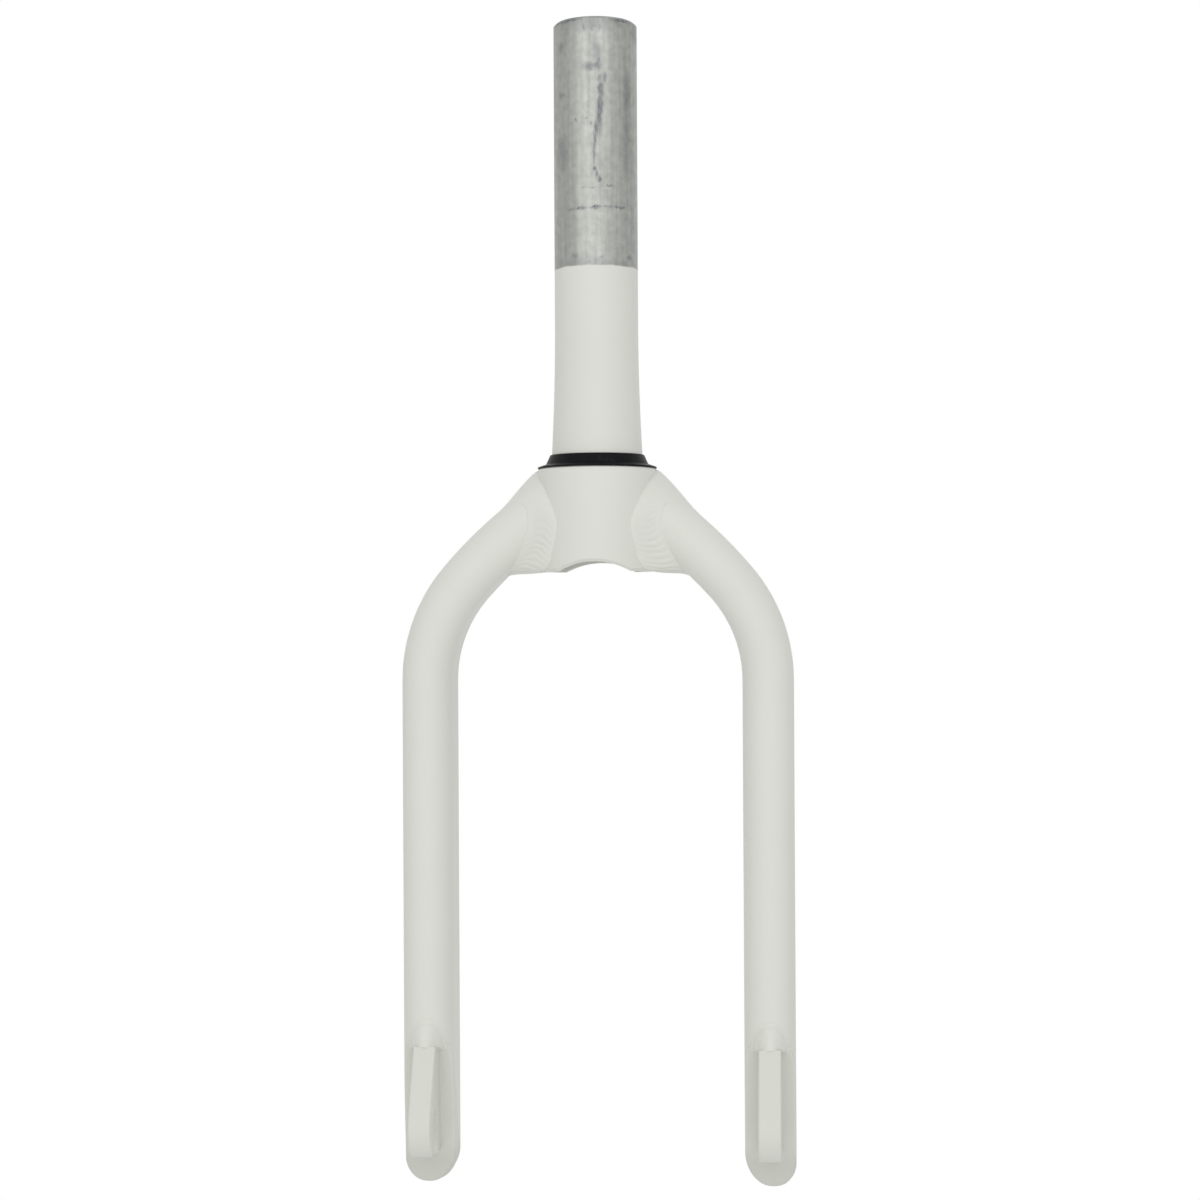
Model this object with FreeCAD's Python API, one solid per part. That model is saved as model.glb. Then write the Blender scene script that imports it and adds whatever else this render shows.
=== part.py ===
import FreeCAD, Part
import math
import os

# Welded aluminium bicycle fork for a small wheel, in millimetres.
# The origin is on the steerer axis at the crown top face, where the crown race sits.
# +Z runs up the steerer, the front of the fork faces -Y and the rider's left is +X.

V = FreeCAD.Vector

# Steerer and crown, one forging
STEERER_OD = 28.6
STEERER_TOP_Z = 152.3
STEERER_BORE_D = 22.6
STEERER_EDGE = 0.8
RACE_SEAT_D = 31.0
RACE_SEAT_H = 6.0
FLARE_TOP_Z = 50.0
CROWN_OD = 40.5
CROWN_H = 35.3
CROWN_WALL = 4.5
CROWN_EDGE = 0.4
CROWN_BORE_TOP = 2.0
CROWN_BORE_TAPER = 12.0
ARCH_R = 24.0
ARCH_RISE = 3.3
CROWN_HEM = 0.9

# Crown race, pressed on the seat
RACE_H = 4.6
RACE_TOP_D = 32.4
RACE_NECK_D = 35.2
RACE_NECK_Z = 1.5
RACE_LIP_D = 40.8
RACE_LIP_H = 0.5

# Legs, bent flat-sided oval tubes that get rounder on a gentler curve up to the crown
LEG_X = 58.2
LEG_W = 17.4
LEG_D = 29.0
LEG_WALL = 2.2
BEND_R = 51.0
BEND_DEG = 41.0
BEND_Z = -72.4
STUB_R = 150.0
STUB_DEG = 18.0
STUB_END_W = 18.6
STUB_END_D = 24.2
TIP_Z = -247.0
TIP_ROUND_H = 14.0
TIP_OUT = 3.4

# Slash cut at the lower end of each leg
SLASH_RUN = 59.3
SLASH_DEG = 22.0
PLUG_T = 4.0

# Dropout tab and axle slot
TAB_T = 7.6
TAB_RISE = 25.5
TAB_SHOULDER = 3.0
TAB_R = 11.5
TAB_EDGE = 0.7
AXLE_REACH = 4.0
AXLE_ABOVE_TIP = 25.8
AXLE_SLOT_W = 10.0

# Weld at the crown: how far the bead stands off the leg and where it ends
WELD_GAP_Z = 0.4
WELD_IN_DEPTH = 9.25
WELD_IN_SIDE = 4.4
WELD_IN_RISE = 6.0
WELD_FACE_SIDE = 1.2
WELD_MID_RUN = 6.75
WELD_MID_TOP = 1.6
WELD_MID_SIDE = 0.7
WELD_TOE_RUN = 12.75
WELD_TOE = 0.5

# Weld puddle over the top of each dropout tab
PUDDLE_W = 11.8
PUDDLE_H = 8.2
PUDDLE_D = 6.2

# Derived sizes
CROWN_R = CROWN_OD / 2
BORE_R = STEERER_BORE_D / 2
SEAT_R = RACE_SEAT_D / 2
LEG_FLAT = (LEG_D - LEG_W) / 2
STUB_END_FLAT = (STUB_END_D - STUB_END_W) / 2
BEND_RAD = math.radians(BEND_DEG)
BEND_AT = V(LEG_X - BEND_R, 0, BEND_Z)
STUB_AT = BEND_AT - V(math.cos(BEND_RAD), 0, math.sin(BEND_RAD)) * (STUB_R - BEND_R)
SLASH_RAD = math.radians(SLASH_DEG)
SLASH_TOP_Z = TIP_Z + SLASH_RUN
AXLE_Y = -LEG_D / 2 - AXLE_REACH
AXLE_Z = TIP_Z + AXLE_ABOVE_TIP
TAB_TOP_Y = -LEG_D / 2 - TAB_SHOULDER
TAB_TOP_Z = AXLE_Z + TAB_RISE
FAR = 400.0


def ring(points):
    """Solid of revolution about Z from (radius, height) points."""
    loop = [V(r, 0, z) for r, z in points]
    face = Part.Face(Part.makePolygon(loop + loop[:1]))
    return face.revolve(V(0, 0, 0), V(0, 0, 1), 360)


def flare():
    """Points of the curve that widens the steerer from its straight part to the race seat."""
    steps = 8
    run = FLARE_TOP_Z - RACE_SEAT_H
    rise = SEAT_R - STEERER_OD / 2
    shares = [i / steps for i in range(steps + 1)]
    return [(STEERER_OD / 2 + rise * share ** 2, FLARE_TOP_Z - run * share) for share in shares]


def prism_x(points, x_mid, width):
    """Prism along X, centred on x_mid, from (y, z) points."""
    loop = [V(x_mid - width / 2, y, z) for y, z in points]
    face = Part.Face(Part.makePolygon(loop + loop[:1]))
    return face.extrude(V(width, 0, 0))


def half_oval(centre, half_h, reach):
    """Upright half ellipse from top to bottom, bulging by reach along Y."""
    side = V(0, math.copysign(1, reach), 0)
    full = Part.Ellipse(centre + V(0, 0, half_h), centre + side * abs(reach), centre)
    return Part.ArcOfEllipse(full, 0, math.pi).toShape()


def leg_oval(radius, flat):
    """Flat-sided oval across the straight leg at the start of the bend."""
    signs = ((1, -1), (1, 1), (-1, 1), (-1, -1))
    corners = [V(LEG_X + sx * radius, sy * flat, BEND_Z) for sx, sy in signs]
    back = Part.Arc(corners[1], V(LEG_X, flat + radius, BEND_Z), corners[2]).toShape()
    front = Part.Arc(corners[3], V(LEG_X, -flat - radius, BEND_Z), corners[0]).toShape()
    outer = Part.makeLine(corners[0], corners[1])
    inner = Part.makeLine(corners[2], corners[3])
    return Part.Wire([outer, back, inner, front])


def stub_oval(inset, share):
    """Oval across the leg at a share of the way from the bend to the crown, drawn in by inset."""
    width = LEG_W + (STUB_END_W - LEG_W) * share
    flat = LEG_FLAT + (STUB_END_FLAT - LEG_FLAT) * share
    oval = leg_oval(width / 2 - inset, flat)
    oval.rotate(BEND_AT, V(0, -1, 0), BEND_DEG)
    oval.rotate(STUB_AT, V(0, -1, 0), STUB_DEG * share)
    return oval


def steerer_crown():
    steerer_r = STEERER_OD / 2
    crown_bore_r = CROWN_R - CROWN_WALL
    body = ring([
        (BORE_R, STEERER_TOP_Z),
        (steerer_r - STEERER_EDGE, STEERER_TOP_Z),
        (steerer_r, STEERER_TOP_Z - STEERER_EDGE),
        *flare(),
        (SEAT_R, 0),
        (CROWN_R - CROWN_EDGE, 0),
        (CROWN_R, -CROWN_EDGE),
        (CROWN_R, -CROWN_H),
        (crown_bore_r, -CROWN_H),
        (crown_bore_r, -CROWN_BORE_TOP - CROWN_BORE_TAPER),
        (BORE_R, -CROWN_BORE_TOP),
    ])
    arch_z = -CROWN_H + ARCH_RISE - ARCH_R
    arch = Part.makeCylinder(ARCH_R, CROWN_OD * 2, V(0, -CROWN_OD, arch_z), V(0, 1, 0))
    body = body.cut(arch)
    return body.makeChamfer(CROWN_HEM, [edge for edge in body.Edges if on_crown_hem(edge)])


def on_crown_hem(edge):
    """True for the outer edges round the bottom of the crown."""
    low = edge.BoundBox.ZMax < -CROWN_H + ARCH_RISE + CROWN_EDGE
    return low and all(abs(math.hypot(v.X, v.Y) - CROWN_R) < 0.01 for v in edge.Vertexes)


def crown_race():
    return ring([
        (SEAT_R, 0),
        (RACE_LIP_D / 2, 0),
        (RACE_LIP_D / 2, RACE_LIP_H),
        (RACE_NECK_D / 2, RACE_NECK_Z),
        (RACE_TOP_D / 2, RACE_H),
        (SEAT_R, RACE_H),
    ])


def leg_sweep(inset):
    """Bent oval bar on the +X side, its outline drawn in by inset and left long at both ends."""
    start = Part.Face(leg_oval(LEG_W / 2 - inset, LEG_FLAT))
    straight = start.extrude(V(0, 0, TIP_Z - BEND_Z - LEG_D))
    bend = start.revolve(BEND_AT, V(0, -1, 0), BEND_DEG)
    stub = Part.makeLoft([stub_oval(inset, share) for share in (0, 1 / 3, 2 / 3, 1)], True, False)
    return straight.fuse([bend, stub]).removeSplitter()


def crown_clear():
    """Long cylinder that copes the legs to the crown."""
    return Part.makeCylinder(CROWN_R, FAR, V(0, 0, -FAR / 2))


def slash_y(z):
    """Where the slash face lies, front to back, at height z."""
    return -LEG_D / 2 + (SLASH_TOP_Z - z) * math.tan(SLASH_RAD)


def slash_front(depth):
    """Everything in front of the slash face, moved back by depth along its normal."""
    back = depth / math.cos(SLASH_RAD)
    top = SLASH_TOP_Z + FAR / 10
    low = TIP_Z - FAR / 10
    return prism_x([(slash_y(top) + back, top), (slash_y(low) + back, low), (-FAR, low), (-FAR, top)],
                   LEG_X, LEG_W * 2)


def tip_side(centre, reach):
    """Quarter of the rounded tip outline, from its lowest point to the side of the leg."""
    nose = Part.Ellipse(centre - V(0, 0, TIP_ROUND_H), centre + V(reach, 0, 0), centre)
    return Part.ArcOfEllipse(nose, 0, math.pi / 2).toShape()


def below_tip(lift):
    """Everything below the rounded tip outline, which is lowest outward of its middle, moved up by lift."""
    shoulder = TIP_Z + TIP_ROUND_H + lift
    block = Part.makeBox(LEG_W * 2, LEG_D * 2, FAR / 4, V(LEG_X - LEG_W, -LEG_D, shoulder - FAR / 4))
    centre = V(LEG_X + TIP_OUT, -LEG_D, shoulder)
    outer = tip_side(centre, LEG_W / 2 - TIP_OUT)
    inner = tip_side(centre, -LEG_W / 2 - TIP_OUT)
    across = Part.makeLine(V(LEG_X - LEG_W / 2, -LEG_D, shoulder), V(LEG_X + LEG_W / 2, -LEG_D, shoulder))
    nose = Part.Face(Part.Wire(Part.__sortEdges__([outer, across, inner])))
    return block.cut(nose.extrude(V(0, LEG_D * 2, 0)))


def leg_tube():
    tube = leg_sweep(0).cut(leg_sweep(LEG_WALL))
    return tube.cut([crown_clear(), slash_front(0), below_tip(0)])


def dropout_plug():
    """Plate that fills the slash cut and the rounded tip, inside the tube wall."""
    core = leg_sweep(LEG_WALL).cut([slash_front(0), below_tip(0)])
    face_plate = core.common(slash_front(PLUG_T))
    tip_cap = core.common(below_tip(PLUG_T))
    return face_plate.fuse(tip_cap).removeSplitter()


def dropout_tab():
    """Tab standing forward of the plug, rounded about the axle, with a slot open downward."""
    reach = V(0, TAB_TOP_Y - AXLE_Y, TAB_TOP_Z - AXLE_Z)
    tangent = math.atan2(reach.z, reach.y) + math.acos(TAB_R / reach.Length)
    front = (AXLE_Y + TAB_R * math.cos(tangent), AXLE_Z + TAB_R * math.sin(tangent))
    low = AXLE_Z - TAB_R
    root = PLUG_T / 2
    web = prism_x([(TAB_TOP_Y, TAB_TOP_Z), front, (AXLE_Y, AXLE_Z), (AXLE_Y, low),
                   (slash_y(low) + root, low), (slash_y(TAB_TOP_Z) + root, TAB_TOP_Z)], LEG_X, TAB_T)
    boss = Part.makeCylinder(TAB_R, TAB_T, V(LEG_X - TAB_T / 2, AXLE_Y, AXLE_Z), V(1, 0, 0))
    tab = web.fuse(boss).removeSplitter()
    tab = tab.makeFillet(TAB_EDGE, [edge for edge in tab.Edges if on_tab_front(edge)])
    eye = Part.makeCylinder(AXLE_SLOT_W / 2, TAB_T * 2, V(LEG_X - TAB_T, AXLE_Y, AXLE_Z), V(1, 0, 0))
    mouth = Part.makeBox(TAB_T * 2, AXLE_SLOT_W, TAB_R * 2,
                         V(LEG_X - TAB_T, AXLE_Y - AXLE_SLOT_W / 2, AXLE_Z - TAB_R * 2))
    return tab.cut([eye, mouth])


def on_tab_front(edge):
    """True for the side edges of the tab ahead of its top shoulder."""
    box = edge.BoundBox
    on_side = abs(abs(box.Center.x - LEG_X) - TAB_T / 2) < 0.01
    return on_side and box.XLength < 0.01 and box.YMax < TAB_TOP_Y + TAB_R and box.ZLength > 1


def dropout():
    return dropout_plug().fuse(dropout_tab()).cut(leg_tube()).removeSplitter()


def stub_edge(x, off):
    """Height at x of the line that runs off above the middle of the leg near the crown."""
    return STUB_AT.z + math.sqrt((STUB_R + off) ** 2 - (x - STUB_AT.x) ** 2)


def stub_flat(x):
    """Half the flat part of the leg's oval where the middle of the leg is at x."""
    turned = math.degrees(math.acos((x - STUB_AT.x) / STUB_R)) - BEND_DEG
    return LEG_FLAT + (STUB_END_FLAT - LEG_FLAT) * turned / STUB_DEG


def weld_section(x, top, bottom, side):
    """Upright outline across the bead at x, flat above and below, and side clear of the leg inside it."""
    flat = stub_flat(x)
    middle = (top + bottom) / 2
    half_h = (top - bottom) / 2
    reach = STUB_END_W / 2 + side
    upper = Part.makeLine(V(x, -flat, top), V(x, flat, top))
    back = half_oval(V(x, flat, middle), half_h, reach)
    lower = Part.makeLine(V(x, flat, bottom), V(x, -flat, bottom))
    front = half_oval(V(x, -flat, middle), half_h, -reach)
    return Part.Wire([upper, back, lower, front])


def crown_weld():
    """Bead that fills the corner between leg and crown all round the leg."""
    mid_x = CROWN_R + WELD_MID_RUN
    toe_x = CROWN_R + WELD_TOE_RUN
    half_w = STUB_END_W / 2
    sections = [
        weld_section(CROWN_R - WELD_IN_DEPTH, WELD_IN_RISE, -CROWN_H, WELD_IN_SIDE),
        weld_section(CROWN_R, -WELD_GAP_Z, -CROWN_H, WELD_FACE_SIDE),
        weld_section(mid_x, stub_edge(mid_x, half_w) + WELD_MID_TOP,
                     stub_edge(mid_x, -half_w) - WELD_MID_SIDE, WELD_MID_SIDE),
        weld_section(toe_x, stub_edge(toe_x, half_w) + WELD_TOE,
                     stub_edge(toe_x, -half_w) - WELD_TOE, WELD_TOE),
    ]
    bead = Part.makeLoft(sections, True, False)
    above = Part.makeBox(CROWN_OD * 2, CROWN_OD * 2, CROWN_OD, V(0, -CROWN_OD, -WELD_GAP_Z))
    return bead.cut([above, crown_clear(), leg_sweep(0)])


def dropout_weld():
    """Rounded puddle that joins the top of the tab to the leg."""
    ball = Part.makeSphere(1.0)
    grow = FreeCAD.Matrix()
    grow.scale(PUDDLE_W / 2, PUDDLE_D, PUDDLE_H)
    ball = ball.transformGeometry(grow)
    ball.translate(V(LEG_X, slash_y(TAB_TOP_Z) - PUDDLE_D / 4, TAB_TOP_Z))
    below = Part.makeBox(LEG_W * 2, LEG_D * 2, LEG_D, V(LEG_X - LEG_W, -LEG_D * 1.5, TAB_TOP_Z - LEG_D))
    return ball.cut([below, leg_sweep(LEG_WALL).cut(slash_front(0)), leg_tube()])


def mirrored(shape):
    """The rider's right-hand copy."""
    return shape.mirror(V(0, 0, 0), V(1, 0, 0))


def export(name, shape):
    solids = shape.Solids
    if len(solids) != 1:
        raise ValueError(name + " is not one solid")
    solids[0].exportStep("parts/" + name + ".step")


os.makedirs("parts", exist_ok=True)
export("steerer_crown", steerer_crown())
export("crown_race", crown_race())
for piece, make in (("leg", leg_tube), ("dropout", dropout), ("crown_weld", crown_weld),
                    ("dropout_weld", dropout_weld)):
    left = make()
    export("left_" + piece, left)
    export("right_" + piece, mirrored(left))
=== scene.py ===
import bpy
import math
from mathutils import Matrix, Vector


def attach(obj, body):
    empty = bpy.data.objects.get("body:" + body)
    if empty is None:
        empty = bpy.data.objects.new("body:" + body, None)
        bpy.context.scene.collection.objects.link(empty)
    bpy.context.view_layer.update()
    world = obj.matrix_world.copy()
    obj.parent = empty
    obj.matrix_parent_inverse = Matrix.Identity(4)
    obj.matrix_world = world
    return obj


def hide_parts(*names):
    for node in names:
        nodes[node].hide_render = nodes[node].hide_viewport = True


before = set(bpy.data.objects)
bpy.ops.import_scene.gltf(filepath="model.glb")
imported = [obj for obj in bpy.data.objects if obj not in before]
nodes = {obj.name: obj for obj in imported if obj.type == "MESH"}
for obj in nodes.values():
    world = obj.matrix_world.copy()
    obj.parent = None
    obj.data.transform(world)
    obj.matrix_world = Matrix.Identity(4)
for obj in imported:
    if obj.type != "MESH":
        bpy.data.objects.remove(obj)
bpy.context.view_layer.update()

# Sizes of the fork that its looks depend on, in millimetres as in the part
MM = 0.001
CROWN_R = 20.25
LEG_X = 58.2
LEG_W = 17.4
LEG_D = 29.0
BEND_R = 51.0
BEND_ANGLE = math.radians(41.0)
BEND_Z = -72.4
STUB_R = 150.0
STUB_TURN = math.radians(18.0)
STUB_END_W = 18.6
STUB_END_D = 24.2
STEERER_BORE_R = 11.3
SLASH_TOP_Z = -187.7
SLASH_ANGLE = math.radians(22.0)
TAB_TOP_Z = -195.7
PUDDLE_W = 11.8
PUDDLE_H = 8.2
LEG_FLAT = (LEG_D - LEG_W) / 2
STUB_END_FLAT = (STUB_END_D - STUB_END_W) / 2
STUB_AT = Vector((LEG_X - BEND_R - (STUB_R - BEND_R) * math.cos(BEND_ANGLE), 0,
                  BEND_Z - (STUB_R - BEND_R) * math.sin(BEND_ANGLE)))

# Weld bead at the crown, at shares of the way round the leg from its top by way of its front: its edge on
# the crown by turn from the side and height, its edge on the leg in degrees on from the bend, and its swell
BEAD_EDGE_ON_CROWN = [
    (0.0, 0.0, -0.4), (0.05, 12.0, -2.4), (0.1, 28.0, -5.8), (0.15, 40.5, -10.6), (0.2, 48.5, -15.2),
    (0.25, 52.0, -19.5), (0.3, 50.0, -24.2), (0.35, 45.5, -28.6), (0.4, 41.5, -32.4), (0.44, 32.0, -34.8),
    (0.5, 0.0, -35.2),
]
BEAD_EDGE_ON_LEG = [
    (0.0, 8.4), (0.08, 10.1), (0.15, 12.2), (0.2, 12.6), (0.27, 11.6), (0.34, 9.0), (0.42, 5.6), (0.5, 4.1),
]
BEAD_SWELL = [(0.0, 1.1), (0.1, 0.9), (0.2, 0.5), (0.3, 0.5), (0.4, 0.6), (0.5, 0.4)]
BEAD_RISE = 2.2
BEAD_TAPER = 1.3
BEAD_BURIED = 0.8
BEAD_CORNER = 3.0
BEAD_STEPS_ROUND = 420
BEAD_STEPS_ACROSS = 32

# Ripples of the welds, like a row of laid coins
RIPPLE_PITCH = 2.3
RIPPLE_HEIGHT = 0.32
RIPPLE_BOW = {"left": -2.6, "right": 4.2}
RIPPLE_STRENGTH = [(0.0, 0.12), (0.12, 0.16), (0.2, 0.2), (0.28, 0.5), (0.34, 1.0), (0.5, 1.0)]
RIPPLE_LEVEL = 0.55
RIPPLE_UNEVEN = 0.9
RIPPLE_UNEVEN_SIZE = 5.0
PUDDLE_PITCH = 1.7
PUDDLE_RIPPLE = 0.12

# Weld puddle over the top of the dropout tab: how far it runs out past its core, its rise and its lower lip,
# how deep its rim is sunk in the leg and how fast it comes out of it
PUDDLE_SPREAD = 1.2
PUDDLE_RISE = 3.6
PUDDLE_LIP = 3.0
PUDDLE_SUNK = 0.1
PUDDLE_EMERGE = 4.0
PUDDLE_STEPS = 64

# Face of the leg's end: it leaves the slash cut at a knee, stands nearly upright and ends in a full round tip
END_KNEE_Z = -196.0
END_KNEE_RUN = 14.0
END_LEAN = math.radians(6.0)
END_TIP_Z = -244.4
END_DROP = 2.2
END_EDGE = 0.9
END_INSET = 0.03
END_BURIED = 1.0
END_STEPS = 8
END_STEPS_UP = 80
TIP_LOWEST_X = 0.9
TIP_OUTER_H = 8.5
TIP_INNER_H = 12.0

# Painted shade of the leg ends: darker paint in full up to one depth behind the slash cut and none from
# another, and darker still toward the tip, between two heights
FULL_SHADE_DEPTH = 0.2
NO_SHADE_DEPTH = 0.5
TIP_FADE_TOP_Z = -228.0
TIP_FADE_END_Z = -238.0

# Finish of the steerer: the masking line and its waviness, then the sizes of the grain. A small draw makes
# the grain long along the tube
PAINT_LINE_Z = 68.0
PAINT_LINE_WAVE = 0.9
PAINT_LINE_WAVE_SIZE = 5.0
PAINT_LINE_FADE = (0.2, 0.7)
DRAWN_LINE_SIZE = 1.1
DRAWN_LINE_DRAW = 0.02
STREAK_SIZE = 6.0
MOTTLE_SIZE = 2.5
SMOKE_SIZE = 0.6
SMOKE_DRAW = 0.25
RAGGED_SIZE = 1.2
RAGGED_SHIFT = Vector((1.0, 0, 2.4))

# Studio
FILL_LIGHT = 0.845
SIDE_WALL = 0.66
SIDE_WALL_FROM = 0.45
SIDE_WALL_TO = 0.95
KEY_WATTS = 8.4
KEY_AT = (0.1, -1.8, 0.35)
KEY_TARGET = (0, 0, -0.05)
KEY_SIZE = (2.4, 2.4)
FLOOR_HALF_SIZE = 2.2
FLOOR_Z = -0.9
FLOOR_GREY = (0.85, 0.85, 0.85, 1)
FLOOR_ROUGHNESS = 0.9
FLOOR_GLOW = 0.9

# Photograph
FRAME_PX = 1200
FOCAL_PX = 2330.0
CAMERA_DISTANCE = 0.800
CAMERA_AZIMUTH = math.radians(4.85)
CAMERA_PITCH = math.radians(0.2)
CAMERA_ROLL = math.radians(-0.30)
CAMERA_Z = -0.0478
CAMERA_SHIFT_PX = 2.0


# Small helpers

def linear(hex_code):
    """sRGB hex to the linear colour that shaders take."""
    channels = [int(hex_code[i:i + 2], 16) / 255 for i in (1, 3, 5)]
    return tuple(c / 12.92 if c <= 0.04045 else ((c + 0.055) / 1.055) ** 2.4 for c in channels) + (1.0,)


def add(tree, kind, inputs, **settings):
    """Adds a node with its settings. Each input is linked from a node or a socket, or takes a plain value."""
    made = tree.nodes.new(kind)
    for name, value in settings.items():
        setattr(made, name, value)
    for key, value in inputs.items():
        if isinstance(value, bpy.types.Node):
            value = value.outputs[0]
        if isinstance(value, bpy.types.NodeSocket):
            tree.links.new(value, made.inputs[key])
        else:
            made.inputs[key].default_value = value
    return made


def new_material(name):
    made = bpy.data.materials.new(name)
    made.use_nodes = True
    return made, made.node_tree, made.node_tree.nodes["Principled BSDF"]


def between(stops, at):
    """Value at a place on the smooth curve through (place, value) stops, level at both ends."""
    slopes = [0.0]
    for before, after in zip(stops, stops[2:]):
        slopes.append((after[1] - before[1]) / (after[0] - before[0]))
    slopes.append(0.0)
    i = max(j for j in range(len(stops) - 1) if stops[j][0] <= at)
    run = stops[i + 1][0] - stops[i][0]
    t = (at - stops[i][0]) / run
    ease = t * t * (3 - 2 * t)
    start_pull = slopes[i] * run * t * (1 - t) ** 2
    end_pull = slopes[i + 1] * run * t * t * (1 - t)
    return stops[i][1] + (stops[i + 1][1] - stops[i][1]) * ease + start_pull - end_pull


# Materials

PAINT = "#E1E2DB"
PAINT_SHADE = "#DDDED6"
# Darker paints that stand in for shade: painted shade on the leg ends' cut faces and dropout tabs, darker
# still at the tips
SHADED_CUT_PAINT = "#DADBD3"
SHADED_TIP_PAINT = "#CBCCC4"
ALLOY = "#C6C8C2"
ALLOY_STREAK = "#A9ABA6"
# Dark colour of the steerer's stains and scratches, also used for the painted shade along its top rim
STAIN_AND_SHADE = "#6A6F76"
RACE = "#0D0E10"
RACE_DUST = "#1A1C20"
PAINT_CLOUD_SIZE = 30.0
PAINT_PEEL_SIZE = 1.2
PAINT_ROUGHNESS = (0.42, 0.54)
PAINT_IOR = 1.45
ALLOY_ROUGHNESS = (0.45, 0.58)
RACE_LINE_SIZE = 0.3
RACE_DUST_SIZE = 3.0
RACE_ROUGHNESS = (0.34, 0.52)
GRAIN_DEPTH = 0.05


def paint_tone(tree, place):
    """Colour and grain of the paint: faint cloudiness, and orange peel about a millimetre across."""
    cloud = add(tree, "ShaderNodeTexNoise", {"Vector": place, "Scale": 1 / (PAINT_CLOUD_SIZE * MM),
                                             "Detail": 2.0})
    peel = add(tree, "ShaderNodeTexNoise", {"Vector": place, "Scale": 1 / (PAINT_PEEL_SIZE * MM),
                                            "Detail": 1.0})
    tone = add(tree, "ShaderNodeMix", {0: cloud, 6: linear(PAINT_SHADE), 7: linear(PAINT)},
               data_type="RGBA")
    return tone.outputs[2], cloud, peel


def shade_at_end(tree, place, tone):
    """Painted shade on and in front of the slash cut of the legs, and more so at their tips: darker paint
    colours stand in for the shade of these down-facing faces.
    """
    steep = math.tan(SLASH_ANGLE)
    split = add(tree, "ShaderNodeSeparateXYZ", {"Vector": place}).outputs
    behind = add(tree, "ShaderNodeMath", {0: split["Z"], 1: steep, 2: split["Y"]}, operation="MULTIPLY_ADD")
    cut = (SLASH_TOP_Z * steep - LEG_D / 2) * MM
    on_cut = add(tree, "ShaderNodeMapRange", {"Value": behind, "From Min": cut + NO_SHADE_DEPTH * MM,
                                              "From Max": cut + FULL_SHADE_DEPTH * MM})
    at_tip = add(tree, "ShaderNodeMapRange", {"Value": split["Z"], "From Min": TIP_FADE_TOP_Z * MM,
                                              "From Max": TIP_FADE_END_Z * MM},
                 interpolation_type="SMOOTHSTEP")
    shaded = add(tree, "ShaderNodeMix", {0: at_tip, 6: linear(SHADED_CUT_PAINT), 7: linear(SHADED_TIP_PAINT)},
               data_type="RGBA").outputs[2]
    return add(tree, "ShaderNodeMix", {0: on_cut, 6: tone, 7: shaded}, data_type="RGBA").outputs[2]


def powder_coat(name, has_cut):
    """Polyester powder coat on aluminium: off-white, satin, with soft broad highlights and no mirror."""
    made, tree, shader = new_material(name)
    place = add(tree, "ShaderNodeTexCoord", {}).outputs["Object"]
    tone, cloud, peel = paint_tone(tree, place)
    if has_cut:
        # Painted shade at the leg ends
        tone = shade_at_end(tree, place, tone)
    rough = add(tree, "ShaderNodeMapRange", {"Value": cloud, "To Min": PAINT_ROUGHNESS[0],
                                             "To Max": PAINT_ROUGHNESS[1]})
    bump = add(tree, "ShaderNodeBump", {"Height": peel, "Strength": 0.05, "Distance": GRAIN_DEPTH * MM})
    tree.links.new(tone, shader.inputs["Base Color"])
    tree.links.new(rough.outputs[0], shader.inputs["Roughness"])
    tree.links.new(bump.outputs[0], shader.inputs["Normal"])
    shader.inputs["IOR"].default_value = PAINT_IOR
    return made


def black_race():
    """Black anodised ring: near black with turned lines round the cone and a faint cold sheen."""
    made, tree, shader = new_material("black anodised aluminium, turned")
    place = add(tree, "ShaderNodeTexCoord", {}).outputs["Object"]
    height = add(tree, "ShaderNodeSeparateXYZ", {"Vector": place}).outputs["Z"]
    lines = add(tree, "ShaderNodeTexNoise", {}, noise_dimensions="1D")
    tree.links.new(height, lines.inputs["W"])
    lines.inputs["Scale"].default_value = 1 / (RACE_LINE_SIZE * MM)
    dust = add(tree, "ShaderNodeTexNoise", {"Vector": place, "Scale": 1 / (RACE_DUST_SIZE * MM),
                                            "Detail": 4.0})
    dusty = add(tree, "ShaderNodeMapRange", {"Value": dust, "From Min": 0.5, "From Max": 0.8})
    tone = add(tree, "ShaderNodeMix", {0: dusty, 6: linear(RACE), 7: linear(RACE_DUST)}, data_type="RGBA")
    rough = add(tree, "ShaderNodeMapRange", {"Value": dust, "To Min": RACE_ROUGHNESS[0],
                                             "To Max": RACE_ROUGHNESS[1]})
    bump = add(tree, "ShaderNodeBump", {"Height": lines, "Strength": 0.15, "Distance": GRAIN_DEPTH * MM})
    tree.links.new(tone.outputs[2], shader.inputs["Base Color"])
    tree.links.new(rough.outputs[0], shader.inputs["Roughness"])
    tree.links.new(bump.outputs[0], shader.inputs["Normal"])
    shader.inputs["Specular IOR Level"].default_value = 0.1
    return made
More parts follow.
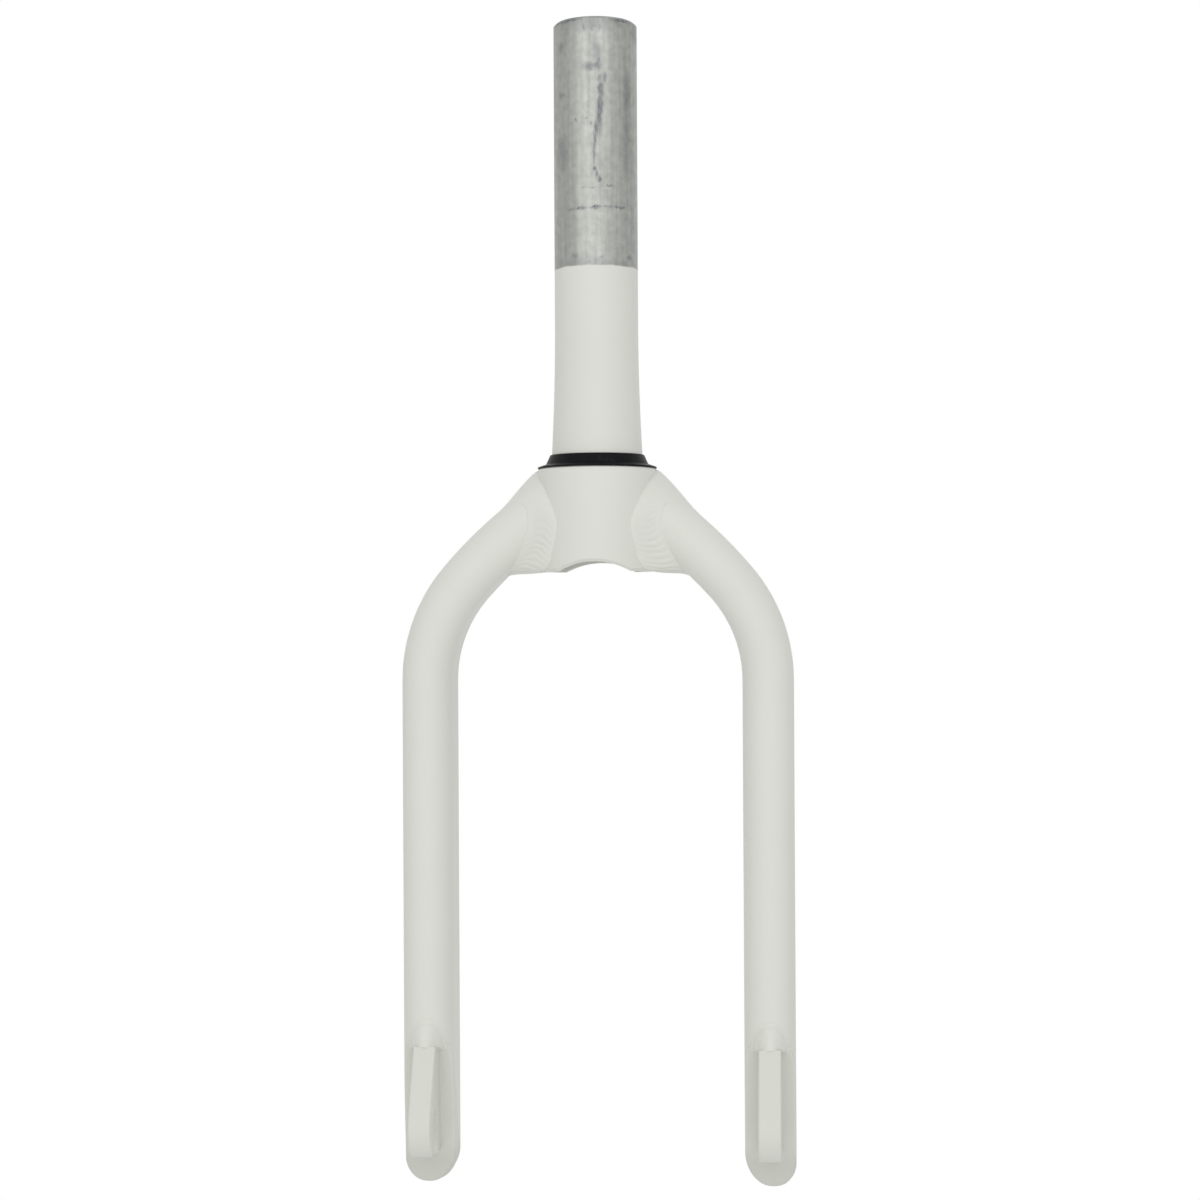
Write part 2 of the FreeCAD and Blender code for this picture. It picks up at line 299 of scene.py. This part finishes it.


# Marks on the bare steerer: handling stains and scratches, and painted shade of the top rim; place across and
# up, half width and half height, darkness
BLOT_CORE = 0.2
STEERER_STAINS_AND_RIM_SHADE = {
    # rim shade, rim shade left and rim shade right are painted shade: the top rim and its chamfer are
    # darkened as if in shadow
    "rim shade": ((0.0, 152.0), (18.0, 6.0), 0.35),
    "rim shade left": ((-8.0, 151.7), (8.5, 1.7), 0.8),
    "rim shade right": ((9.2, 151.5), (5.5, 1.6), 0.75),
    "corner right": ((14.0, 148.0), (2.2, 5.0), 0.4),
    "rim dash left": ((-2.6, 148.8), (0.9, 2.0), 0.55),
    "rim dash middle": ((0.2, 148.9), (0.8, 2.6), 0.55),
    "rim dash right": ((2.7, 148.6), (0.7, 2.8), 0.45),
    "brushed patch": ((1.7, 140.4), (2.6, 5.0), 0.45),
    "brushed streak": ((2.4, 136.9), (1.3, 4.4), 0.65),
    "smudge left": ((-0.8, 135.2), (3.4, 2.4), 0.6),
    "smudge right": ((1.9, 135.4), (2.2, 2.0), 0.75),
    "short stain": ((4.4, 131.5), (0.9, 2.4), 0.6),
    "stain start": ((2.6, 131.0), (1.2, 2.2), 0.5),
    "long stain body": ((2.7, 121.5), (1.3, 13.0), 0.9),
    "long stain top": ((3.0, 127.2), (1.7, 5.0), 0.9),
    "long stain middle": ((2.8, 122.0), (1.5, 7.0), 0.85),
    "long stain bend": ((2.4, 117.8), (1.3, 5.4), 0.85),
    "long stain knee": ((1.5, 114.4), (1.1, 4.0), 0.8),
    "long stain low": ((0.9, 111.2), (0.8, 6.0), 0.75),
    "long stain tail": ((0.6, 105.8), (0.7, 7.5), 0.65),
    "tick top": ((0.8, 100.6), (0.9, 1.0), 0.95),
    "tick middle": ((1.6, 98.9), (0.8, 1.9), 0.9),
    "tick bottom": ((2.5, 96.9), (0.9, 1.6), 0.95),
    "speck left": ((-5.7, 117.3), (0.8, 0.8), 0.5),
    "speck middle": ((-1.9, 117.6), (0.8, 0.6), 0.5),
    "speck right": ((-0.4, 116.1), (0.6, 1.0), 0.5),
    "right streak": ((11.4, 126.5), (1.7, 10.0), 0.45),
    "right streak tail": ((11.2, 110.0), (1.6, 18.0), 0.35),
    "left spot top": ((-11.0, 142.6), (1.6, 3.0), 0.35),
    "left spot middle": ((-10.8, 126.5), (1.8, 1.6), 0.35),
    "left patch": ((-10.4, 106.6), (3.2, 9.0), 0.35),
    "masking shade": ((0.0, 68.5), (18.0, 3.4), 0.3),
    "blotch left": ((-6.0, 71.3), (2.0, 1.4), 0.4),
    "blotch middle": ((3.1, 70.6), (1.1, 1.0), 0.5),
    "blotch right": ((12.0, 71.2), (1.2, 1.2), 0.55),
}
STEERER_SCRATCHES = {
    "strong scratch far left": ((-7.4, 87.2), (2.2, 0.6), 0.5),
    "strong scratch left": ((-3.8, 87.5), (2.8, 0.8), 0.85),
    "strong scratch middle": ((1.0, 87.7), (3.0, 1.0), 1.0),
    "strong scratch right": ((5.0, 88.0), (2.6, 0.7), 0.8),
    "strong scratch far right": ((9.0, 87.8), (3.4, 0.7), 0.8),
    "faint scratch right": ((5.2, 94.7), (3.2, 0.65), 0.75),
    "faint scratch left": ((-1.2, 94.2), (5.5, 0.5), 0.4),
}


def blot(tree, spot, centre, half_size, strength):
    """Soft-edged mark on the steerer: strength in its middle, nothing outside its half size."""
    x, z = centre
    half_w, half_h = half_size
    away = add(tree, "ShaderNodeVectorMath", {0: spot, 1: (x * MM, 0, z * MM)}, operation="SUBTRACT")
    scaled = add(tree, "ShaderNodeVectorMath", {0: away, 1: (1 / (half_w * MM), 0, 1 / (half_h * MM))},
                 operation="MULTIPLY")
    far = add(tree, "ShaderNodeVectorMath", {0: scaled}, operation="LENGTH").outputs["Value"]
    return add(tree, "ShaderNodeMapRange", {"Value": far, "From Min": 1.0, "From Max": BLOT_CORE,
                                            "To Max": strength},
               interpolation_type="SMOOTHSTEP")


def bare_part(tree, place, height):
    """1 above the masking line and inside the bore, 0 where the paint is."""
    wave = add(tree, "ShaderNodeTexNoise", {"Vector": place, "Scale": 1 / (PAINT_LINE_WAVE_SIZE * MM),
                                            "Detail": 2.0})
    lift = add(tree, "ShaderNodeMath", {0: wave, 1: PAINT_LINE_WAVE * MM, 2: height},
               operation="MULTIPLY_ADD")
    low, high = [(PAINT_LINE_Z + fade) * MM for fade in PAINT_LINE_FADE]
    above = add(tree, "ShaderNodeMapRange", {"Value": lift, "From Min": low, "From Max": high})
    flat = add(tree, "ShaderNodeVectorMath", {0: place, 1: (1, 1, 0)}, operation="MULTIPLY")
    radius = add(tree, "ShaderNodeVectorMath", {0: flat}, operation="LENGTH").outputs["Value"]
    inside = add(tree, "ShaderNodeMath", {0: radius, 1: (STEERER_BORE_R + 1) * MM}, operation="LESS_THAN")
    return add(tree, "ShaderNodeMath", {0: above, 1: inside}, operation="MAXIMUM")


def stains_scratches_and_rim_shade(tree, place, depth):
    """Smoky stains and broken scratches, drawn out along the tube, and painted shade along the top rim, on
    the front of the steerer only.
    """
    front = add(tree, "ShaderNodeMath", {0: depth, 1: 0.0}, operation="LESS_THAN")
    ragged = add(tree, "ShaderNodeTexNoise", {"Vector": place, "Scale": 1 / (RAGGED_SIZE * MM),
                                              "Detail": 4.0})
    nudge = add(tree, "ShaderNodeVectorMath", {0: ragged.outputs["Color"], 1: (0.5, 0.5, 0.5)},
                operation="SUBTRACT")
    spot = add(tree, "ShaderNodeVectorMath", {0: nudge, 1: RAGGED_SHIFT * MM, 2: place},
               operation="MULTIPLY_ADD")
    drawn = add(tree, "ShaderNodeVectorMath", {0: place, 1: (1, 1, SMOKE_DRAW)}, operation="MULTIPLY")
    smoke = add(tree, "ShaderNodeTexNoise", {"Vector": drawn, "Scale": 1 / (SMOKE_SIZE * MM), "Detail": 3.0})
    smoky = add(tree, "ShaderNodeMapRange", {"Value": smoke, "From Min": 0.3, "From Max": 0.6,
                                             "To Min": 0.55})
    broken = add(tree, "ShaderNodeMapRange", {"Value": ragged, "From Min": 0.3, "From Max": 0.56})
    shapes = [(blot(tree, spot, *mark), smoky) for mark in STEERER_STAINS_AND_RIM_SHADE.values()]
    shapes += [(blot(tree, spot, *mark), broken) for mark in STEERER_SCRATCHES.values()]
    total = None
    for shape, grain in shapes:
        shape = add(tree, "ShaderNodeMath", {0: shape, 1: grain}, operation="MULTIPLY")
        total = add(tree, "ShaderNodeMath", {0: total or 0.0, 1: shape}, operation="MAXIMUM")
    return add(tree, "ShaderNodeMath", {0: total, 1: front}, operation="MULTIPLY")


def steerer_finish():
    """Powder coat below, bare drawn aluminium above: fine lines along the tube, stains and scratches, and
    painted shade at the top rim.
    """
    made, tree, shader = new_material("powder coat and bare drawn aluminium")
    place = add(tree, "ShaderNodeTexCoord", {}).outputs["Object"]
    split = add(tree, "ShaderNodeSeparateXYZ", {"Vector": place})
    tone, cloud, peel = paint_tone(tree, place)
    bare = bare_part(tree, place, split.outputs["Z"])

    # Drawing lines run along the tube, drawn about a millimetre wide so that they show
    along_tube = add(tree, "ShaderNodeVectorMath", {0: place, 1: (1, 1, DRAWN_LINE_DRAW)},
                     operation="MULTIPLY")
    lines = add(tree, "ShaderNodeTexNoise", {"Vector": along_tube, "Scale": 1 / (DRAWN_LINE_SIZE * MM),
                                             "Detail": 4.0})
    broad = add(tree, "ShaderNodeTexNoise", {"Vector": along_tube, "Scale": 1 / (STREAK_SIZE * MM),
                                             "Detail": 2.0})
    mottle = add(tree, "ShaderNodeTexNoise", {"Vector": place, "Scale": 1 / (MOTTLE_SIZE * MM),
                                              "Detail": 6.0})
    streaks = add(tree, "ShaderNodeMath", {0: lines, 1: 0.6, 2: broad}, operation="MULTIPLY_ADD")
    dull = add(tree, "ShaderNodeMath", {0: mottle, 1: 0.9, 2: streaks}, operation="MULTIPLY_ADD")
    streaked = add(tree, "ShaderNodeMapRange", {"Value": dull, "From Min": 0.95, "From Max": 1.55})
    alloy = add(tree, "ShaderNodeMix", {0: streaked, 6: linear(ALLOY), 7: linear(ALLOY_STREAK)},
                data_type="RGBA").outputs[2]
    # Stains and scratches, and painted shade along the top rim
    marks_and_shade = stains_scratches_and_rim_shade(tree, place, split.outputs["Y"])
    marked_and_shaded = add(tree, "ShaderNodeMix", {0: marks_and_shade, 6: alloy, 7: linear(STAIN_AND_SHADE)}, data_type="RGBA").outputs[2]

    colour = add(tree, "ShaderNodeMix", {0: bare, 6: tone, 7: marked_and_shaded}, data_type="RGBA").outputs[2]
    alloy_rough = add(tree, "ShaderNodeMapRange", {"Value": lines, "To Min": ALLOY_ROUGHNESS[0],
                                                   "To Max": ALLOY_ROUGHNESS[1]})
    rough = add(tree, "ShaderNodeMix", {0: bare, 2: sum(PAINT_ROUGHNESS) / 2, 3: alloy_rough})
    grain = add(tree, "ShaderNodeMix", {0: bare, 2: peel, 3: lines})
    bump = add(tree, "ShaderNodeBump", {"Height": grain, "Strength": 0.10, "Distance": GRAIN_DEPTH * MM})
    tree.links.new(colour, shader.inputs["Base Color"])
    tree.links.new(bare.outputs[0], shader.inputs["Metallic"])
    tree.links.new(rough.outputs[0], shader.inputs["Roughness"])
    tree.links.new(bump.outputs[0], shader.inputs["Normal"])
    return made


# Welds and leg ends

def loft(side, loops):
    """Points and faces of a closed skin through loops that go up a leg, beside the leg's middle line."""
    points = [((LEG_X + point.x) * side * MM, point.y * MM, point.z * MM) for loop in loops for point in loop]
    size = len(loops[0])
    faces = [tuple(range(size))[::-side], tuple(range(len(points) - size, len(points)))[::side]]
    for here in range(0, len(points) - size, size):
        for i in range(size):
            after = (i + 1) % size
            faces.append((here + i, here + after, here + size + after, here + size + i)[::side])
    return points, faces


def ripple_ready(name, points, faces, along, across, strength):
    """Mesh of a weld, with what the ripples need to know at each point."""
    mesh = bpy.data.meshes.new(name)
    mesh.from_pydata(points, [], faces)
    for label, values in (("along", along), ("across", across), ("strength", strength)):
        mesh.attributes.new(label, "FLOAT", "POINT").data.foreach_set("value", values)
    mesh.update()
    return mesh


def leg_place(share, turned):
    """Point on the leg and its outward direction, a share round from its top and turned on from the bend."""
    way = turned / STUB_TURN
    radius = (LEG_W + (STUB_END_W - LEG_W) * way) / 2
    flat = LEG_FLAT + (STUB_END_FLAT - LEG_FLAT) * way
    arc = math.pi * radius
    run = share * (2 * arc + 4 * flat)
    turn = min(max((run - flat) / radius, 0.0), math.pi)
    ahead = min(run, flat, 2 * flat + arc - run) + radius * math.sin(turn)
    lean = Vector((math.cos(BEND_ANGLE + turned), 0, math.sin(BEND_ANGLE + turned)))
    place = STUB_AT + lean * (STUB_R + radius * math.cos(turn)) - Vector((0, ahead, 0))
    return place, lean * math.cos(turn) - Vector((0, math.sin(turn), 0))


def bead_edges(share):
    """Edge points and outward directions of the bead's front half: on the crown, then on the leg."""
    turn = math.radians(between([(at, angle) for at, angle, _ in BEAD_EDGE_ON_CROWN], share))
    height = between([(at, z) for at, _, z in BEAD_EDGE_ON_CROWN], share)
    off_crown = Vector((math.cos(turn), -math.sin(turn), 0))
    on_crown = off_crown * CROWN_R + Vector((0, 0, height))
    on_leg, off_leg = leg_place(share, math.radians(between(BEAD_EDGE_ON_LEG, share)))
    return on_crown, off_crown, on_leg, off_leg


def bead_loop(share):
    """Points once round the bead's cross-section, with how far across its face each lies."""
    on_crown, off_crown, on_leg, off_leg = bead_edges(share)
    outward = (off_crown + off_leg).normalized()
    chord = on_leg - on_crown
    settle = off_leg * chord.dot(off_leg)
    swell = between(BEAD_SWELL, share)
    loop = []
    for i in range(BEAD_STEPS_ACROSS + 1):
        across = i / BEAD_STEPS_ACROSS
        rise = BEAD_RISE * math.sqrt(across) * (1 - across) ** BEAD_TAPER
        point = on_crown + chord * across + settle * across ** 2 * (1 - across) + outward * swell * rise
        loop.append((point, across))
    buried_leg = on_leg - off_leg * BEAD_BURIED
    buried_crown = on_crown - off_crown * BEAD_BURIED
    buried_corner = buried_leg.lerp(buried_crown, 0.5) - outward * BEAD_CORNER
    return loop + [(buried_leg, 1.0), (buried_corner, 1.0), (buried_crown, 0.0)]


def bead_mesh(side):
    """Closed bead round one leg, with where along and across it each point lies, for the ripples."""
    half = BEAD_STEPS_ROUND // 2
    loops = [bead_loop(step / BEAD_STEPS_ROUND) for step in range(half + 1)]
    travelled = [0.0]
    for before, after in zip(loops, loops[1:]):
        middle = BEAD_STEPS_ACROSS // 2
        travelled.append(travelled[-1] + (after[middle][0] - before[middle][0]).length)
    points, along, across, strength = [], [], [], []
    for step in range(BEAD_STEPS_ROUND):
        near = min(step, BEAD_STEPS_ROUND - step)
        face = 1 if step <= half else -1
        for point, share in loops[near]:
            points.append((side * point.x * MM, face * point.y * MM, point.z * MM))
            along.append(travelled[near] * MM)
            across.append(share)
            strength.append(between(RIPPLE_STRENGTH, near / BEAD_STEPS_ROUND))
    size = len(loops[0])
    faces = []
    for step in range(BEAD_STEPS_ROUND):
        here, there = step * size, (step + 1) % BEAD_STEPS_ROUND * size
        for i in range(size):
            after = (i + 1) % size
            faces.append((here + i, here + after, there + after, there + i)[::-side])
    return ripple_ready("weld bead", points, faces, along, across, strength)


def leg_front(x):
    """Front of the leg's oval, at x from its middle."""
    return -LEG_FLAT - math.sqrt((LEG_W / 2) ** 2 - x * x)


def slash_y(z):
    """Where the slash cut lies at a height."""
    return -LEG_D / 2 + (SLASH_TOP_Z - z) * math.tan(SLASH_ANGLE)


def puddle_loop(z):
    """Points round the puddle at one height, face then buried back, with the ripple strength of each."""
    face, back = [], []
    fall = min(max((TAB_TOP_Z - z) / PUDDLE_LIP, 0.0), 1.0)
    fall = fall * fall * (3 - 2 * fall)
    for step in range(PUDDLE_STEPS + 1):
        x = PUDDLE_W / 2 * PUDDLE_SPREAD * (2 * step / PUDDLE_STEPS - 1)
        leg = max(leg_front(x), slash_y(z))
        aside = 2 * x / PUDDLE_W / PUDDLE_SPREAD
        above = max(z - TAB_TOP_Z, 0.0) / PUDDLE_H / PUDDLE_SPREAD
        bell = max(1 - (aside ** 2 + above ** 2), 0.0) ** 2
        raised = leg_front(x) - PUDDLE_RISE * bell
        rest = leg + PUDDLE_SUNK
        share = min(bell * PUDDLE_EMERGE, 1.0) * (1 - fall)
        face.append((Vector((x, rest + (raised - rest) * share, z)), bell * (1 - fall)))
        back.append((Vector((x, leg + BEAD_BURIED, z)), 0.0))
    return face + back[::-1]


def puddle_mesh(side):
    """Closed low lump over the top of the dropout tab, that runs out level with the leg."""
    low, high = TAB_TOP_Z - PUDDLE_LIP, TAB_TOP_Z + PUDDLE_H * PUDDLE_SPREAD
    loops = [puddle_loop(low + (high - low) * step / PUDDLE_STEPS) for step in range(PUDDLE_STEPS + 1)]
    flat = [spot for loop in loops for spot in loop]
    along = [math.hypot(point.x, point.z - TAB_TOP_Z) * MM for point, _ in flat]
    points, faces = loft(side, [[point for point, _ in loop] for loop in loops])
    return ripple_ready("weld puddle", points, faces, along, [0.5] * len(flat), [bell for _, bell in flat])


def leg_end_face(z):
    """Where the face of the leg's end lies: on from the slash face, through a knee, and nearly upright."""
    steep, upright = math.tan(SLASH_ANGLE), math.tan(END_LEAN)
    below = END_KNEE_Z - z
    turning = min(below, END_KNEE_RUN)
    return (slash_y(END_KNEE_Z) + steep * turning + (upright - steep) * turning ** 2 / (2 * END_KNEE_RUN)
            + upright * (below - turning))


def leg_end_side(z, y, middle, height):
    """How far the side of the leg's end lies from its lowest line: on the leg's oval and in the round tip."""
    low = max((END_TIP_Z + height - z) / height, 0.0)
    oval = math.sqrt((LEG_W / 2) ** 2 - max(-LEG_FLAT - y, 0.0) ** 2) - END_INSET
    return min((LEG_W / 2 + middle) * math.sqrt(1 - low * low), oval + middle)


def leg_end_loop(z):
    """Points round the leg's end at one height: inner side, round-edged face, outer side, buried back."""
    near_tip = max(1 - (z - END_TIP_Z) / END_EDGE, 0.0)
    face = leg_end_face(z) + END_EDGE * (1 - math.sqrt(1 - near_tip ** 2))
    back = max(slash_y(z), face + END_EDGE)
    outer, inner = [], []
    for step in range(END_STEPS + 1):
        y = back + (face + END_EDGE - back) * step / END_STEPS
        outer.append(Vector((TIP_LOWEST_X + leg_end_side(z, y, -TIP_LOWEST_X, TIP_OUTER_H), y, z)))
        inner.append(Vector((TIP_LOWEST_X - leg_end_side(z, y, TIP_LOWEST_X, TIP_INNER_H), y, z)))
    edge = min(END_EDGE, (outer[-1].x - inner[-1].x) / 3)
    for step in range(1, END_STEPS + 1):
        turn = math.pi / 2 * step / END_STEPS
        aside, behind = edge * (1 - math.cos(turn)), END_EDGE * (1 - math.sin(turn))
        outer.append(Vector((outer[END_STEPS].x - aside, face + behind, z)))
        inner.append(Vector((inner[END_STEPS].x + aside, face + behind, z)))
    across = [inner[-1].lerp(outer[-1], step / END_STEPS) for step in range(1, END_STEPS)]
    inward = Vector((edge / 3, 0, 0))
    deeper = Vector((0, END_BURIED, 0))
    buried = [outer[0] - inward + deeper, inner[0] + inward + deeper]
    loop = inner + across + outer[::-1] + buried
    lowness = max(1 - (z - END_TIP_Z) / TIP_INNER_H, 0.0)
    for point in loop:
        point.z -= END_DROP * lowness * (point.y - face) / (slash_y(END_TIP_Z) - leg_end_face(END_TIP_Z))
    return loop


def leg_end(name, side, finish):
    """Nearly upright face and full rounded tip of the leg's end, in front of the slash cut."""
    low = END_TIP_Z + END_INSET
    turns = [math.pi / 2 * step / END_STEPS_UP for step in range(END_STEPS_UP + 1)]
    heights = [low + (END_KNEE_Z - low) * (1 - math.cos(turn)) for turn in turns]
    points, faces = loft(side, [leg_end_loop(z) for z in heights])
    mesh = bpy.data.meshes.new(name)
    mesh.from_pydata(points, [], faces)
    mesh.shade_smooth()
    mesh.materials.append(finish)
    piece = bpy.data.objects.new(name, mesh)
    bpy.context.scene.collection.objects.link(piece)
    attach(piece, "root")


def ripple_tree():
    """Lifts a weld into ripples: crests a pitch apart along it, bowed across it, fading out at its edges."""
    tree = bpy.data.node_groups.new("weld ripples", "GeometryNodeTree")
    tree.interface.new_socket("Geometry", in_out="INPUT", socket_type="NodeSocketGeometry")
    for name in ("Pitch", "Height", "Bow"):
        tree.interface.new_socket(name, in_out="INPUT", socket_type="NodeSocketFloat")
    tree.interface.new_socket("Finish", in_out="INPUT", socket_type="NodeSocketMaterial")
    tree.interface.new_socket("Geometry", in_out="OUTPUT", socket_type="NodeSocketGeometry")
    given = add(tree, "NodeGroupInput", {}).outputs
    along = add(tree, "GeometryNodeInputNamedAttribute", {"Name": "along"}, data_type="FLOAT")
    across = add(tree, "GeometryNodeInputNamedAttribute", {"Name": "across"}, data_type="FLOAT")
    strength = add(tree, "GeometryNodeInputNamedAttribute", {"Name": "strength"}, data_type="FLOAT")
    off_middle = add(tree, "ShaderNodeMath", {0: across, 1: 2.0, 2: -1.0}, operation="MULTIPLY_ADD")
    edge = add(tree, "ShaderNodeMath", {0: off_middle, 1: off_middle}, operation="MULTIPLY")
    bowed = add(tree, "ShaderNodeMath", {0: edge, 1: given["Bow"]}, operation="MULTIPLY")
    run = add(tree, "ShaderNodeMath", {0: along, 1: bowed}, operation="SUBTRACT")
    turns = add(tree, "ShaderNodeMath", {0: run, 1: given["Pitch"]}, operation="DIVIDE")
    uneven = add(tree, "ShaderNodeTexNoise", {"Scale": 1 / (RIPPLE_UNEVEN_SIZE * MM), "Detail": 1.0})
    phase = add(tree, "ShaderNodeMath", {0: uneven, 1: RIPPLE_UNEVEN, 2: turns}, operation="MULTIPLY_ADD")
    angle = add(tree, "ShaderNodeMath", {0: phase, 1: math.pi}, operation="MULTIPLY")
    swing = add(tree, "ShaderNodeMath", {0: angle}, operation="SINE")
    crest = add(tree, "ShaderNodeMath", {0: swing}, operation="ABSOLUTE")
    level = add(tree, "ShaderNodeMath", {0: crest, 1: RIPPLE_LEVEL}, operation="SUBTRACT")
    fade = add(tree, "ShaderNodeMath", {0: 1.0, 1: edge}, operation="SUBTRACT")
    shown = add(tree, "ShaderNodeMath", {0: fade, 1: strength}, operation="MULTIPLY")
    lifted = add(tree, "ShaderNodeMath", {0: level, 1: shown}, operation="MULTIPLY")
    height = add(tree, "ShaderNodeMath", {0: lifted, 1: given["Height"]}, operation="MULTIPLY")
    outward = add(tree, "GeometryNodeInputNormal", {})
    offset = add(tree, "ShaderNodeVectorMath", {0: outward, "Scale": height}, operation="SCALE")
    moved = add(tree, "GeometryNodeSetPosition", {"Geometry": given["Geometry"], "Offset": offset})
    smooth = add(tree, "GeometryNodeSetShadeSmooth", {0: moved})
    plain = add(tree, "GeometryNodeRealizeInstances", {0: smooth})
    painted = add(tree, "GeometryNodeSetMaterial", {"Geometry": plain, "Material": given["Finish"]})
    add(tree, "NodeGroupOutput", {0: painted})
    return tree


def rippled_weld(name, mesh, tree, finish, pitch, height, bow):
    """Runs the ripple tree on a weld and leaves a plain piece that stands for the weld's solid."""
    piece = bpy.data.objects.new(name + "_bead", mesh)
    bpy.context.scene.collection.objects.link(piece)
    modifier = piece.modifiers.new("ripples", "NODES")
    modifier.node_group = tree
    sizes = {"Pitch": pitch * MM, "Height": height * MM, "Bow": bow * MM, "Finish": finish}
    for item in tree.interface.items_tree:
        if item.in_out == "INPUT" and item.name in sizes:
            modifier[item.identifier] = sizes[item.name]
    ready = piece.evaluated_get(bpy.context.evaluated_depsgraph_get())
    plain = bpy.data.meshes.new_from_object(ready)
    piece.modifiers.clear()
    piece.data = plain
    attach(piece, "root")
    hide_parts(name)


# The fork: finishes on the solids, then welds and leg ends

powder = powder_coat("off-white satin powder coat", False)
leg_powder = powder_coat("off-white satin powder coat, painted shade at the leg ends", True)
for name, finish in (("steerer_crown", steerer_finish()), ("crown_race", black_race()),
                     ("left_leg", leg_powder), ("right_leg", leg_powder),
                     ("left_dropout", leg_powder), ("right_dropout", leg_powder)):
    nodes[name].data.materials.clear()
    nodes[name].data.materials.append(finish)

ripples = ripple_tree()
for name, side in (("left", 1), ("right", -1)):
    rippled_weld(name + "_crown_weld", bead_mesh(side), ripples, powder, RIPPLE_PITCH, RIPPLE_HEIGHT,
                 RIPPLE_BOW[name])
    rippled_weld(name + "_dropout_weld", puddle_mesh(side), ripples, powder, PUDDLE_PITCH, PUDDLE_RIPPLE, 0.0)
    leg_end(name + "_leg_end", side, leg_powder)


# Stage: white studio, soft light, camera

def white_world():
    """White all round to the camera, and soft fill light that is dimmer from the grey walls at both sides."""
    world = bpy.data.worlds.new("white studio")
    bpy.context.scene.world = world
    world.use_nodes = True
    tree = world.node_tree
    tree.nodes.clear()
    rays = add(tree, "ShaderNodeLightPath", {}).outputs
    toward = add(tree, "ShaderNodeTexCoord", {}).outputs["Generated"]
    sideways = add(tree, "ShaderNodeSeparateXYZ", {"Vector": toward}).outputs["X"]
    to_side = add(tree, "ShaderNodeMath", {0: sideways}, operation="ABSOLUTE")
    wall = add(tree, "ShaderNodeMapRange", {"Value": to_side, "From Min": SIDE_WALL_FROM,
                                            "From Max": SIDE_WALL_TO, "To Min": 1.0, "To Max": SIDE_WALL},
               interpolation_type="SMOOTHSTEP")
    dimmed = add(tree, "ShaderNodeMath", {0: wall, 1: FILL_LIGHT}, operation="MULTIPLY")
    lit = add(tree, "ShaderNodeMix", {0: rays["Is Glossy Ray"], 2: dimmed, 3: wall})
    seen = add(tree, "ShaderNodeMath", {0: rays["Is Camera Ray"], 1: rays["Is Transmission Ray"]},
               operation="MAXIMUM")
    strength = add(tree, "ShaderNodeMix", {0: seen, 2: lit, 3: 1.0})
    studio = add(tree, "ShaderNodeBackground", {"Color": (1, 1, 1, 1), "Strength": strength})
    add(tree, "ShaderNodeOutputWorld", {"Surface": studio})


def white_floor():
    """Pale paper floor far below the hung fork: it takes the shadow, and looks white to the camera."""
    mesh = bpy.data.meshes.new("floor")
    half = FLOOR_HALF_SIZE
    corners = [(-half, -half, FLOOR_Z), (half, -half, FLOOR_Z), (half, half, FLOOR_Z), (-half, half, FLOOR_Z)]
    mesh.from_pydata(corners, [], [(0, 1, 2, 3)])
    floor = bpy.data.objects.new("floor", mesh)
    bpy.context.scene.collection.objects.link(floor)
    made, tree, shader = new_material("white studio paper")
    rays = add(tree, "ShaderNodeLightPath", {}).outputs
    seen = add(tree, "ShaderNodeMath", {0: rays["Is Camera Ray"], 1: rays["Is Glossy Ray"]},
               operation="MAXIMUM")
    seen = add(tree, "ShaderNodeMath", {0: seen, 1: rays["Is Transmission Ray"]}, operation="MAXIMUM")
    shader.inputs["Base Color"].default_value = FLOOR_GREY
    shader.inputs["Roughness"].default_value = FLOOR_ROUGHNESS
    glow = add(tree, "ShaderNodeEmission", {"Color": (1, 1, 1, 1), "Strength": 1.0})
    share = add(tree, "ShaderNodeMath", {0: seen, 1: FLOOR_GLOW}, operation="MULTIPLY")
    both = add(tree, "ShaderNodeMixShader", {0: share, 1: shader, 2: glow})
    tree.links.new(both.outputs[0], tree.nodes["Material Output"].inputs["Surface"])
    mesh.materials.append(made)


def soft_box(name, place, target, size, watts):
    """Rectangular lamp that shines from a place at a target."""
    lamp = bpy.data.lights.new(name, "AREA")
    lamp.shape = "RECTANGLE"
    lamp.size, lamp.size_y = size
    lamp.energy = watts
    made = bpy.data.objects.new(name, lamp)
    made.location = place
    made.rotation_mode = "QUATERNION"
    made.rotation_quaternion = (Vector(target) - Vector(place)).to_track_quat("-Z", "Y")
    bpy.context.scene.collection.objects.link(made)


def photo_camera():
    """Camera where the photographer stood, a little to one side of the fork's front."""
    turn, pitch, roll = CAMERA_AZIMUTH, CAMERA_PITCH, CAMERA_ROLL
    level = Vector((-math.sin(turn), math.cos(turn), 0))
    right = Vector((math.cos(turn), math.sin(turn), 0))
    ahead = level * math.cos(pitch) + Vector((0, 0, 1)) * math.sin(pitch)
    up = Vector((0, 0, 1)) * math.cos(pitch) - level * math.sin(pitch)
    rolled_right = right * math.cos(roll) + up * math.sin(roll)
    rolled_up = up * math.cos(roll) - right * math.sin(roll)
    lens = bpy.data.cameras.new("photo camera")
    lens.sensor_width = 36.0
    lens.lens = lens.sensor_width * FOCAL_PX / FRAME_PX
    lens.shift_x = CAMERA_SHIFT_PX / FRAME_PX
    lens.clip_start = 0.01
    lens.clip_end = 50.0
    made = bpy.data.objects.new("photo camera", lens)
    spot = -level * CAMERA_DISTANCE + Vector((0, 0, CAMERA_Z))
    axes = Matrix((rolled_right, rolled_up, -ahead)).transposed().to_4x4()
    made.matrix_world = Matrix.Translation(spot) @ axes
    bpy.context.scene.collection.objects.link(made)
    bpy.context.scene.camera = made


white_world()
white_floor()
soft_box("key in front", KEY_AT, KEY_TARGET, KEY_SIZE, KEY_WATTS)
photo_camera()
bpy.context.scene.view_settings.view_transform = "Standard"
